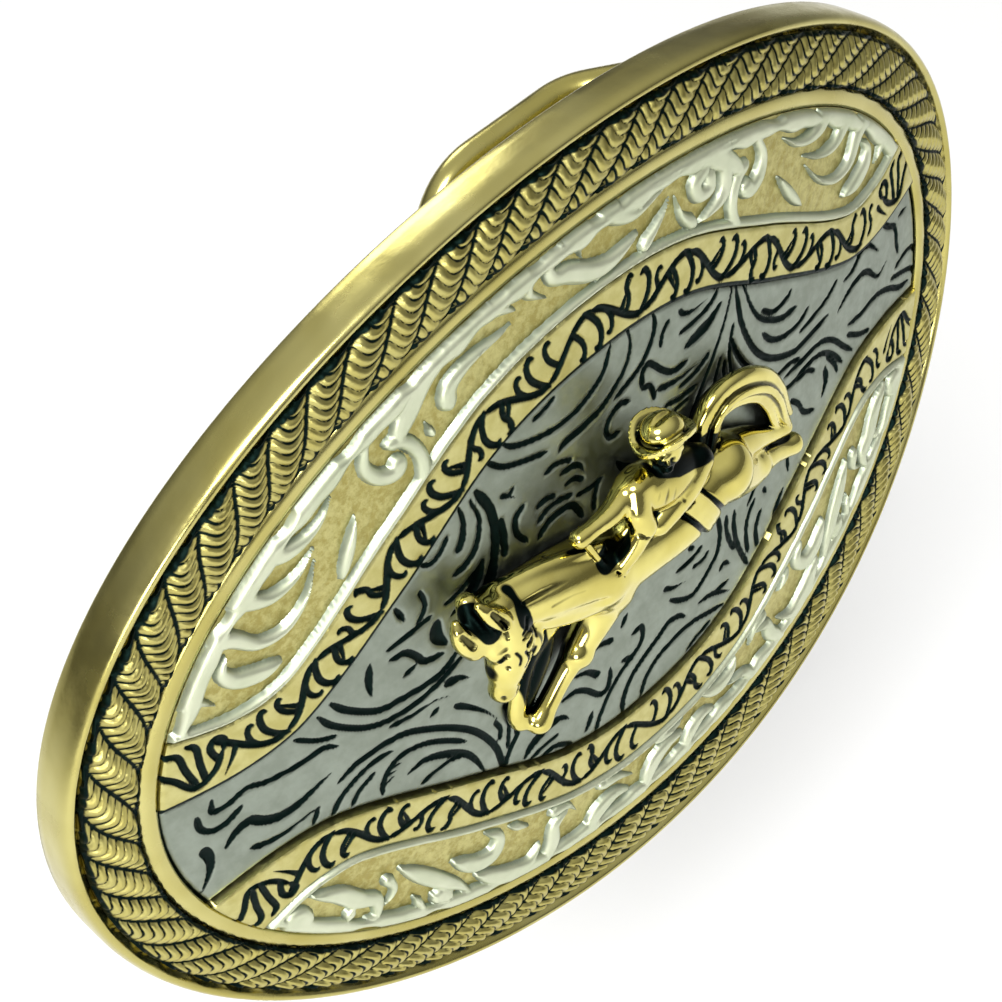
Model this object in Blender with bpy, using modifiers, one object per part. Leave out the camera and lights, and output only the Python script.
"""Western trophy belt buckle: a bowed oval plate with soldered overlays, a riding figure and a swivel bail.

+X runs along the oval's long axis, +Z is up as worn, and the decorated face looks towards -Y.
The origin is the middle of the base plate's back face, where the belt lies.
Lengths are written in millimetres and turned into metres by MM.
"""
import math

import bmesh
import bpy
from mathutils import Matrix, Vector

MM = 0.001

# Driving dimensions
BOW_RADIUS = 194.0          # the plate is part of a cylinder with an upright axis
RIM_OUTER = (47.1, 35.9)    # half length and half height of the oval, outside the rim
RIM_WALL = 1.1
ROPE_WIDTH = (3.5, 4.1)     # at the ends and at the top of the oval
BAND_WIDTH = 1.25
FIT_GAP = 0.3               # left between neighbours that are soldered together
BELT_WIDTH = 38.0
BELT_PLAY = 1.9             # on each side of the belt, inside the bail

# Heights of each layer's back and front above the plate's back face
PLATE_LAYER = (0.0, 1.5)
RIM_LAYER = (0.0, 3.3)
ROPE_LAYER = (1.8, 3.3)
BAND_LAYER = (1.8, 2.9)
PANEL_LAYER = (1.8, 2.6)
RIBBON_LAYER = (1.8, 3.1)
CRESCENT_LAYER = (1.8, 2.7)
SCROLL_LAYER = (3.0, 3.5)

# Half of the symmetric edges between panel, ribbon and crescent: distance from the middle, height
PANEL_EDGE = ((0, 18.4), (9.5, 16.8), (19, 11.2), (28.5, 5.8), (34, 5.0), (42, 6.1))
CRESCENT_EDGE = ((0, 23.1), (9.5, 21.6), (19, 16.4), (28.5, 10.3), (33, 9.8), (38, 11.4))

# Bail, a bent wire loop whose turned-in ends sit in the hinge barrel
WIRE_RADIUS = 1.25
BAIL_HALF_WIDTH = BELT_WIDTH / 2 + BELT_PLAY + WIRE_RADIUS
BAIL_BENDS = (2.4, 5.0, 6.0)
BAIL_BAR_X = 2.2
BAIL_STANDOFF = 16.9
BAIL_BEND_X = 18.0
HINGE_X = 30.7
HINGE_Y = 5.9
PIN_DEPTH = 6.2

BARREL_RADIUS = 2.1
BARREL_BORE = 1.36
BARREL_LENGTH = 36.4
HINGE_PLATE = (8.0, 40.0, 0.8)

HOOK_X = -29.0
HOOK_PLATE = (14.0, 16.0, 1.2)
STUD_FOOT = 2.6
STUD_NECK = 1.5
STUD_HEAD = 2.1
STUD_LENGTH = 7.9
ROUND_STEPS = 24

SLAB_STEPS = 16
EDGE_STEPS = 24
SLAB_REACH = 52.0           # half length and half height of the bowed cutting sheets
SLAB_HALF_HEIGHT = 45.0
CUT_DEPTH = 30.0

GOLD = (0.75, 0.62, 0.25)
NICKEL = (0.33, 0.36, 0.33)
PEARL = (0.80, 0.84, 0.72)

parts = bpy.data.collections.new("belt_buckle")
cutters = bpy.data.collections.new("cutters")


def clear_scene():
    for obj in list(bpy.data.objects):
        bpy.data.objects.remove(obj, do_unlink=True)
    for collection in (parts, cutters):
        bpy.context.scene.collection.children.link(collection)


def metal(name, colour, roughness):
    material = bpy.data.materials.new(name)
    material.use_nodes = True
    shader = material.node_tree.nodes["Principled BSDF"]
    shader.inputs["Base Color"].default_value = (*colour, 1.0)
    shader.inputs["Metallic"].default_value = 1.0
    shader.inputs["Roughness"].default_value = roughness
    return material


def add_part(name, data, colour, roughness):
    obj = bpy.data.objects.new(name, data)
    parts.objects.link(obj)
    obj.data.materials.clear()
    obj.data.materials.append(metal(name + "_metal", colour, roughness))
    return obj


def add_cutter(name, data):
    obj = bpy.data.objects.new(name, data)
    cutters.objects.link(obj)
    obj.hide_render = True
    obj.display_type = "WIRE"
    return obj


def mesh_of_curve(curve):
    """The curve's filled solid as a mesh with welded caps."""
    helper = bpy.data.objects.new(curve.name, curve)
    parts.objects.link(helper)
    graph = bpy.context.evaluated_depsgraph_get()
    mesh = bpy.data.meshes.new_from_object(helper.evaluated_get(graph))
    bpy.data.objects.remove(helper, do_unlink=True)
    work = bmesh.new()
    work.from_mesh(mesh)
    bmesh.ops.remove_doubles(work, verts=work.verts, dist=1e-6)
    bmesh.ops.recalc_face_normals(work, faces=work.faces)
    work.to_mesh(mesh)
    work.free()
    return mesh


def extruded(name, outlines, half_depth):
    """Flat outlines in X and Y, the second one a hole, extruded both ways along Z."""
    curve = bpy.data.curves.new(name, "CURVE")
    curve.dimensions = "2D"
    curve.fill_mode = "BOTH"
    curve.extrude = half_depth * MM
    for outline in outlines:
        spline = curve.splines.new("POLY")
        spline.points.add(len(outline) - 1)
        for point, (x, y) in zip(spline.points, outline):
            point.co = (x * MM, y * MM, 0.0, 1.0)
        spline.use_cyclic_u = True
    return mesh_of_curve(curve)


def face_prism(name, outlines):
    """Outlines drawn on the buckle's face, in X and Z, extruded along Y."""
    mesh = extruded(name, outlines, CUT_DEPTH)
    mesh.transform(Matrix.Rotation(math.pi / 2, 4, "X"))
    return mesh


def bowed_slab(layer):
    """The sheet between two heights over the plate's back face, bowed like the plate."""
    name = "slab_%02d_%02d" % (round(layer[0] * 10), round(layer[1] * 10))
    if name in bpy.data.objects:
        return bpy.data.objects[name]
    reach = math.asin(SLAB_REACH / BOW_RADIUS)
    angles = [reach * (2 * i / SLAB_STEPS - 1) for i in range(SLAB_STEPS + 1)]
    outline = [bow_point(angle, layer[0]) for angle in angles]
    outline += [bow_point(angle, layer[1]) for angle in reversed(angles)]
    return add_cutter(name, extruded(name, [outline], SLAB_HALF_HEIGHT))


def bow_point(angle, height):
    radius = BOW_RADIUS + height
    return radius * math.sin(angle), BOW_RADIUS - radius * math.cos(angle)


def back_face_y(x):
    return BOW_RADIUS - math.sqrt(BOW_RADIUS ** 2 - x ** 2)


def overlay(name, outlines, layer, colour, roughness):
    """A piece of sheet cut to an outline and bowed."""
    obj = add_part(name, face_prism(name, outlines), colour, roughness)
    cut = obj.modifiers.new("bow", "BOOLEAN")
    cut.operation = "INTERSECT"
    cut.object = bowed_slab(layer)
    return obj


def oval(axes, steps=72):
    turn = [2 * math.pi * i / steps for i in range(steps)]
    return [(axes[0] * math.cos(a), axes[1] * math.sin(a)) for a in turn]


def shrunk(axes, amount):
    return axes[0] - amount, axes[1] - amount


def edge_height(edge, x):
    """Smooth symmetric curve through the edge's points (Catmull-Rom)."""
    x = abs(x)
    knots = [(-edge[1][0], edge[1][1])] + list(edge)
    last, before = edge[-1], edge[-2]
    knots.append((2 * last[0] - before[0], 2 * last[1] - before[1]))
    for i in range(1, len(knots) - 2):
        if x <= knots[i + 1][0] or i == len(knots) - 3:
            break
    (x0, y0), (x1, y1), (x2, y2), (x3, y3) = knots[i - 1:i + 3]
    span = x2 - x1
    slope1 = (y2 - y0) / (x2 - x0) * span
    slope2 = (y3 - y1) / (x3 - x1) * span
    t = (x - x1) / span
    square, cube = t * t, t * t * t
    return (
        (2 * cube - 3 * square + 1) * y1
        + (cube - 2 * square + t) * slope1
        + (3 * square - 2 * cube) * y2
        + (cube - square) * slope2
    )


def meeting_x(edge, lift, axes):
    """Where the edge, raised by lift, crosses the oval."""
    low, high = 30.0, axes[0] - 0.001
    for _ in range(40):
        middle = (low + high) / 2
        oval_height = axes[1] * math.sqrt(1 - (middle / axes[0]) ** 2)
        if edge_height(edge, middle) + lift < oval_height:
            low = middle
        else:
            high = middle
    return low


def edge_points(edge, lift, reach, steps=EDGE_STEPS):
    xs = [reach * math.sin(math.pi / 2 * (2 * i / steps - 1)) for i in range(steps + 1)]
    return [(x, edge_height(edge, x) + lift) for x in xs]


def oval_arc(axes, x_from, y_from, x_to, y_to, steps):
    """Points on the oval strictly between two of its points, the short way round."""
    start = math.atan2(y_from / axes[1], x_from / axes[0])
    stop = math.atan2(y_to / axes[1], x_to / axes[0])
    if abs(stop - start) > math.pi:
        stop += math.copysign(2 * math.pi, start - stop)
    turn = [start + (stop - start) * i / steps for i in range(1, steps)]
    return [(axes[0] * math.cos(a), axes[1] * math.sin(a)) for a in turn]


def mirrored(outline):
    return [(x, -y) for x, y in outline]


def panel_outline(axes):
    reach = meeting_x(PANEL_EDGE, 0.0, axes)
    top = edge_points(PANEL_EDGE, 0.0, reach)
    end_y = top[-1][1]
    right = oval_arc(axes, reach, end_y, reach, -end_y, 6)
    bottom = mirrored(reversed(top))
    left = [(-x, -y) for x, y in right]
    return top + right + bottom + left


def ribbon_outline(axes):
    """Between the panel's edge and the crescent's, ending on the oval at both sides."""
    inner_reach = meeting_x(PANEL_EDGE, FIT_GAP, axes)
    outer_reach = meeting_x(CRESCENT_EDGE, 0.0, axes)
    inner = edge_points(PANEL_EDGE, FIT_GAP, inner_reach)
    outer = edge_points(CRESCENT_EDGE, 0.0, outer_reach)
    right = oval_arc(axes, *inner[-1], *outer[-1], 4)
    left = [(-x, y) for x, y in reversed(right)]
    return inner + right + outer[::-1] + left


def crescent_outline(axes, inset):
    """Between the ribbon and the oval, drawn in all round by inset."""
    lift = FIT_GAP + inset
    inside = shrunk(axes, inset)
    reach = meeting_x(CRESCENT_EDGE, lift, inside)
    lower = edge_points(CRESCENT_EDGE, lift, reach)
    upper = oval_arc(inside, *lower[-1], *lower[0], 40)
    return lower + upper


def vine_outline(axes, inset):
    """A wavy strip that swings between the crescent's edges, thinner at its two ends."""
    inside = shrunk(axes, inset)
    reach = meeting_x(CRESCENT_EDGE, inset, inside) - 0.5
    upper, lower = [], []
    for i in range(61):
        x = reach * (2 * i / 60 - 1)
        bottom = edge_height(CRESCENT_EDGE, x) + inset
        top = inside[1] * math.sqrt(1 - (x / inside[0]) ** 2)
        middle = (bottom + top) / 2 + (top - bottom) * 0.42 * math.sin(x * 2 * math.pi / 13.0)
        half = 0.45 + 0.35 * math.cos(x / reach * math.pi / 2)
        upper.append((x, middle + half))
        lower.append((x, middle - half))
    return lower + upper[::-1]


def scrollwork(name, flip, axes):
    """A raised border and running vine, one pierced sheet over each crescent."""
    border = [crescent_outline(axes, 0.4), crescent_outline(axes, 1.3)]
    vine = vine_outline(axes, 0.9)
    if flip:
        border = [mirrored(outline) for outline in border]
        vine = mirrored(vine)
    obj = add_part(name, face_prism(name, border), PEARL, 0.25)
    strip = add_cutter(name + "_vine", extruded(name + "_vine", [vine], CUT_DEPTH - 1.0))
    strip.rotation_euler = (math.pi / 2, 0.0, 0.0)
    join = obj.modifiers.new("vine", "BOOLEAN")
    join.operation = "UNION"
    join.object = strip
    cut = obj.modifiers.new("bow", "BOOLEAN")
    cut.operation = "INTERSECT"
    cut.object = bowed_slab(SCROLL_LAYER)
    return obj


def plate_and_overlays():
    rope_outer = shrunk(RIM_OUTER, RIM_WALL + FIT_GAP)
    rope_inner = (rope_outer[0] - ROPE_WIDTH[0], rope_outer[1] - ROPE_WIDTH[1])
    band_outer = shrunk(rope_inner, FIT_GAP)
    band_inner = shrunk(band_outer, BAND_WIDTH)
    field = shrunk(band_inner, FIT_GAP)
    overlay("back_plate", [oval(rope_outer)], PLATE_LAYER, GOLD, 0.3)
    overlay("rim", [oval(RIM_OUTER), oval(shrunk(RIM_OUTER, RIM_WALL))], RIM_LAYER, GOLD, 0.2)
    overlay("rope_border", [oval(rope_outer), oval(rope_inner)], ROPE_LAYER, GOLD, 0.35)
    overlay("inner_band", [oval(band_outer), oval(band_inner)], BAND_LAYER, GOLD, 0.25)
    overlay("center_panel", [panel_outline(field)], PANEL_LAYER, NICKEL, 0.3)
    ribbon = ribbon_outline(field)
    crescent = crescent_outline(field, 0.0)
    overlay("upper_ribbon", [ribbon], RIBBON_LAYER, GOLD, 0.3)
    overlay("lower_ribbon", [mirrored(ribbon)], RIBBON_LAYER, GOLD, 0.3)
    overlay("upper_crescent", [crescent], CRESCENT_LAYER, GOLD, 0.4)
    overlay("lower_crescent", [mirrored(crescent)], CRESCENT_LAYER, GOLD, 0.4)
    scrollwork("upper_scrollwork", False, field)
    scrollwork("lower_scrollwork", True, field)


# The figure's body, as chains of (x, z, height over the panel, radius); each chain is one tapering limb
HORSE = (
    ((-14.8, 5.5, 2.6, 1.9), (-14.5, 3.0, 3.0, 1.9), (-15.5, 1.2, 3.3, 1.3), (-15.8, -0.2, 3.2, 1.1)),  # head
    ((-17.0, 5.2, 3.0, 0.8), (-17.5, 6.8, 3.0, 0.7), (-17.7, 8.2, 2.8, 0.4)),                       # far ear
    ((-14.6, 5.6, 3.6, 0.8), (-15.2, 7.6, 3.7, 0.7), (-15.9, 9.2, 3.5, 0.4)),                       # near ear
    ((-14.6, 5.6, 2.0, 1.9), (-12.0, 4.8, 2.1, 2.2), (-8.6, 3.6, 2.0, 2.6), (-5.0, 2.0, 1.8, 3.0)),  # neck
    ((-5.0, 1.8, 1.7, 3.0), (-1.0, 0.8, 1.5, 2.9), (3.5, 0.4, 1.4, 3.0), (8.0, 1.0, 1.7, 2.7)),     # barrel
    ((-4.4, -0.8, 1.4, 2.2), (-5.6, -3.0, 1.3, 1.6), (-8.4, -5.4, 1.2, 1.2), (-12.4, -9.2, 1.2, 1.1)),  # near foreleg
    ((-8.6, 0.0, 0.8, 1.6), (-12.4, -3.6, 0.5, 0.9), (-13.6, -7.4, 0.6, 0.8)),                      # far foreleg
    ((9.0, 0.0, 1.7, 2.5), (12.0, -2.2, 1.4, 1.7), (15.2, -3.6, 1.1, 1.2), (18.4, -5.2, 0.9, 0.9)),  # near hind leg
    ((10.0, 1.0, 1.2, 1.8), (14.4, -1.2, 0.8, 1.1), (17.6, -2.6, 0.7, 0.8)),                        # far hind leg
    ((8.2, 3.6, 1.4, 1.4), (9.0, 6.2, 1.5, 1.1), (11.6, 6.7, 1.7, 1.1), (14.2, 5.0, 1.7, 1.1)),     # tail, upper half
    ((14.2, 5.0, 1.7, 1.1), (16.1, 2.4, 1.4, 1.0), (17.5, -0.6, 1.0, 0.9)),                         # tail, lower half
)
RIDER = (
    ((4.4, 5.2, 2.6, 2.0), (1.8, 6.6, 3.0, 2.1), (-0.2, 7.5, 3.3, 1.9)),                            # trunk
    ((-2.0, 8.2, 3.8, 1.0), (-2.0, 5.8, 4.3, 0.95), (-4.6, 3.0, 3.9, 0.8)),                         # near arm
    ((-1.6, 8.2, 3.2, 1.0), (-4.2, 7.6, 3.4, 0.9), (-6.6, 7.6, 3.0, 0.7)),                          # far arm
    ((4.8, 5.4, 3.2, 1.4), (2.4, 5.0, 3.6, 1.35), (0.2, 4.4, 3.7, 1.2)),                            # thigh
    ((3.4, 3.4, 3.7, 0.9), (5.2, 0.2, 3.6, 0.8), (6.6, -2.8, 2.6, 0.7)),                            # stirrup strap
    ((1.2, 8.6, 3.6, 1.1), (1.9, 9.9, 3.8, 1.55)),                                                  # neck and head
    ((1.7, 12.2, 4.2, 1.5), (1.7, 13.0, 4.3, 1.2)),                                                 # hat crown
)
HAT_BRIM = ((1.7, 11.7, 4.1), (2.5, 2.2, 0.75))   # middle, then half sizes along, out of the panel and up
FIGURE_VOXEL = 0.5
FIGURE_KEPT = 0.3           # share of the skin's faces that are kept
FIGURE_CEILING = 14.0       # height over the plate's back that the figure stays well under


def on_panel(x, z, height):
    radius = BOW_RADIUS + PANEL_LAYER[1] + height
    angle = math.asin(x / radius)
    return Vector((x, BOW_RADIUS - radius * math.cos(angle), z)) * MM


def add_ball(work, centre, radius):
    made = bmesh.ops.create_icosphere(work, subdivisions=2, radius=radius * MM)
    bmesh.ops.translate(work, verts=made["verts"], vec=centre)


def add_link(work, start, stop, radius_start, radius_stop):
    axis = stop - start
    turn = axis.to_track_quat("Z", "Y").to_matrix().to_4x4()
    place = Matrix.Translation((start + stop) / 2) @ turn
    bmesh.ops.create_cone(
        work,
        cap_ends=True,
        segments=14,
        radius1=radius_start * MM,
        radius2=radius_stop * MM,
        depth=axis.length,
        matrix=place,
    )


def figure():
    """Horse and rider are one casting, flat at the back where it is soldered to the panel."""
    work = bmesh.new()
    for chain in HORSE + RIDER:
        balls = [(on_panel(x, z, height), radius) for x, z, height, radius in chain]
        for centre, radius in balls:
            add_ball(work, centre, radius)
        for (start, radius_start), (stop, radius_stop) in zip(balls, balls[1:]):
            add_link(work, start, stop, radius_start, radius_stop)
    (x, z, height), half_sizes = HAT_BRIM
    place = Matrix.Translation(on_panel(x, z, height)) @ Matrix.Diagonal((*half_sizes, 1.0))
    bmesh.ops.create_icosphere(work, subdivisions=3, radius=MM, matrix=place)
    mesh = bpy.data.meshes.new("horse_and_rider")
    work.to_mesh(mesh)
    work.free()
    obj = add_part("horse_and_rider", mesh, GOLD, 0.15)
    skin = obj.modifiers.new("skin", "REMESH")
    skin.mode = "VOXEL"
    skin.voxel_size = FIGURE_VOXEL * MM
    fewer = obj.modifiers.new("fewer_faces", "DECIMATE")
    fewer.ratio = FIGURE_KEPT
    cut = obj.modifiers.new("flat_back", "BOOLEAN")
    cut.operation = "INTERSECT"
    cut.object = bowed_slab((PANEL_LAYER[1] + FIT_GAP, FIGURE_CEILING))
    return obj


def rounded_path(corners, radii, steps=6):
    """A path through the corners, each turned by an arc of its own radius."""
    path = [corners[0]]
    for before, corner, after, radius in zip(corners, corners[1:], corners[2:], radii):
        into = (corner - before).normalized()
        out = (after - corner).normalized()
        turn = into.angle(out)
        setback = radius * math.tan(turn / 2)
        start = corner - into * setback
        inward = (out - into * into.dot(out)).normalized()
        centre = start + inward * radius
        for i in range(steps + 1):
            angle = turn * i / steps
            path.append(centre + (into * math.sin(angle) - inward * math.cos(angle)) * radius)
    path.append(corners[-1])
    return path


def bail():
    """The swivel loop that carries the belt, one bent wire with its origin on the hinge axis."""
    pin_end = BARREL_LENGTH / 2 - PIN_DEPTH
    hinge = Vector((HINGE_X, HINGE_Y, 0.0))
    upper = [
        Vector((HINGE_X, HINGE_Y, pin_end)),
        Vector((HINGE_X, HINGE_Y, BAIL_HALF_WIDTH)),
        Vector((BAIL_BEND_X, BAIL_STANDOFF, BAIL_HALF_WIDTH)),
        Vector((BAIL_BAR_X, BAIL_STANDOFF, BAIL_HALF_WIDTH)),
    ]
    corners = upper + [Vector((p.x, p.y, -p.z)) for p in reversed(upper)]
    path = rounded_path(corners, BAIL_BENDS + BAIL_BENDS[::-1])
    curve = bpy.data.curves.new("bail", "CURVE")
    curve.dimensions = "3D"
    curve.bevel_depth = WIRE_RADIUS * MM
    curve.bevel_resolution = 3
    curve.use_fill_caps = True
    spline = curve.splines.new("POLY")
    spline.points.add(len(path) - 1)
    for point, place in zip(spline.points, path):
        point.co = (*((place - hinge) * MM), 1.0)
    axis = bpy.data.objects.new("bail_axis", None)
    parts.objects.link(axis)
    axis.location = hinge * MM
    obj = add_part("bail", mesh_of_curve(curve), GOLD, 0.2)
    obj.parent = axis
    obj.data.shade_smooth()
    return obj


def turned(name, profile, steps, colour, roughness):
    """A closed outline of (radius, height), spun about its own Z axis."""
    mesh = bpy.data.meshes.new(name)
    edges = [(i, (i + 1) % len(profile)) for i in range(len(profile))]
    if profile[0][0] == 0.0:
        edges.pop()
    mesh.from_pydata([(r * MM, 0.0, h * MM) for r, h in profile], edges, [])
    obj = add_part(name, mesh, colour, roughness)
    spin = obj.modifiers.new("spin", "SCREW")
    spin.steps = steps
    spin.render_steps = steps
    spin.use_merge_vertices = True
    spin.merge_threshold = 1e-6
    spin.use_smooth_shade = True
    return obj


def frame_on_back(x, height):
    """A frame whose +Z leaves the back face squarely at x, and whose +Y is up; height is along that +Z."""
    slope = math.asin(x / BOW_RADIUS)
    out = Vector((-math.sin(slope), math.cos(slope), 0.0))
    up = Vector((0.0, 0.0, 1.0))
    side = up.cross(out)
    place = Vector((x, back_face_y(x), 0.0)) + out * height
    frame = Matrix((side, up, out)).transposed().to_4x4()
    frame.translation = place * MM
    return frame


def small_plate(name, size, x):
    """A flat plate with softened edges, soldered on the back face at x."""
    work = bmesh.new()
    bmesh.ops.create_cube(work, size=1.0, matrix=Matrix.Diagonal((*(s * MM for s in size), 1.0)))
    mesh = bpy.data.meshes.new(name)
    work.to_mesh(mesh)
    work.free()
    obj = add_part(name, mesh, GOLD, 0.3)
    obj.matrix_world = frame_on_back(x, FIT_GAP + size[2] / 2)
    soft = obj.modifiers.new("soft_edges", "BEVEL")
    soft.width = 0.2 * MM
    soft.segments = 1
    return obj


def back_hardware():
    small_plate("hinge_plate", HINGE_PLATE, HINGE_X)
    hook_plate = small_plate("hook_plate", HOOK_PLATE, HOOK_X)
    drill = bmesh.new()
    hole = (STUD_FOOT + FIT_GAP) * MM
    bmesh.ops.create_cone(
        drill, cap_ends=True, segments=2 * ROUND_STEPS, radius1=hole, radius2=hole, depth=CUT_DEPTH * MM
    )
    drill_mesh = bpy.data.meshes.new("stud_hole")
    drill.to_mesh(drill_mesh)
    drill.free()
    drill_shape = add_cutter("stud_hole", drill_mesh)
    drill_shape.matrix_world = hook_plate.matrix_world
    seat = hook_plate.modifiers.new("stud_hole", "BOOLEAN")
    seat.operation = "DIFFERENCE"
    seat.object = drill_shape
    half = BARREL_LENGTH / 2
    wall = ((BARREL_RADIUS, half), (BARREL_RADIUS, -half), (BARREL_BORE, -half), (BARREL_BORE, half))
    barrel = turned("hinge_barrel", wall, ROUND_STEPS, GOLD, 0.25)
    barrel.location = Vector((HINGE_X, HINGE_Y, 0.0)) * MM
    top = STUD_LENGTH
    head = ((0.0, top), (0.9, top - 0.15), (1.7, top - 0.7), (STUD_HEAD, top - 1.6), (STUD_HEAD - 0.2, top - 2.4))
    neck = ((STUD_NECK, top - 3.1), (STUD_NECK, 2.5), (STUD_NECK + 0.3, 2.0))
    foot = ((STUD_FOOT, 1.4), (STUD_FOOT, 0.0), (0.0, 0.0))
    stud = turned("hook_stud", head + neck + foot, ROUND_STEPS, GOLD, 0.2)
    stud.matrix_world = frame_on_back(HOOK_X, FIT_GAP)
    bail()


clear_scene()
plate_and_overlays()
figure()
back_hardware()
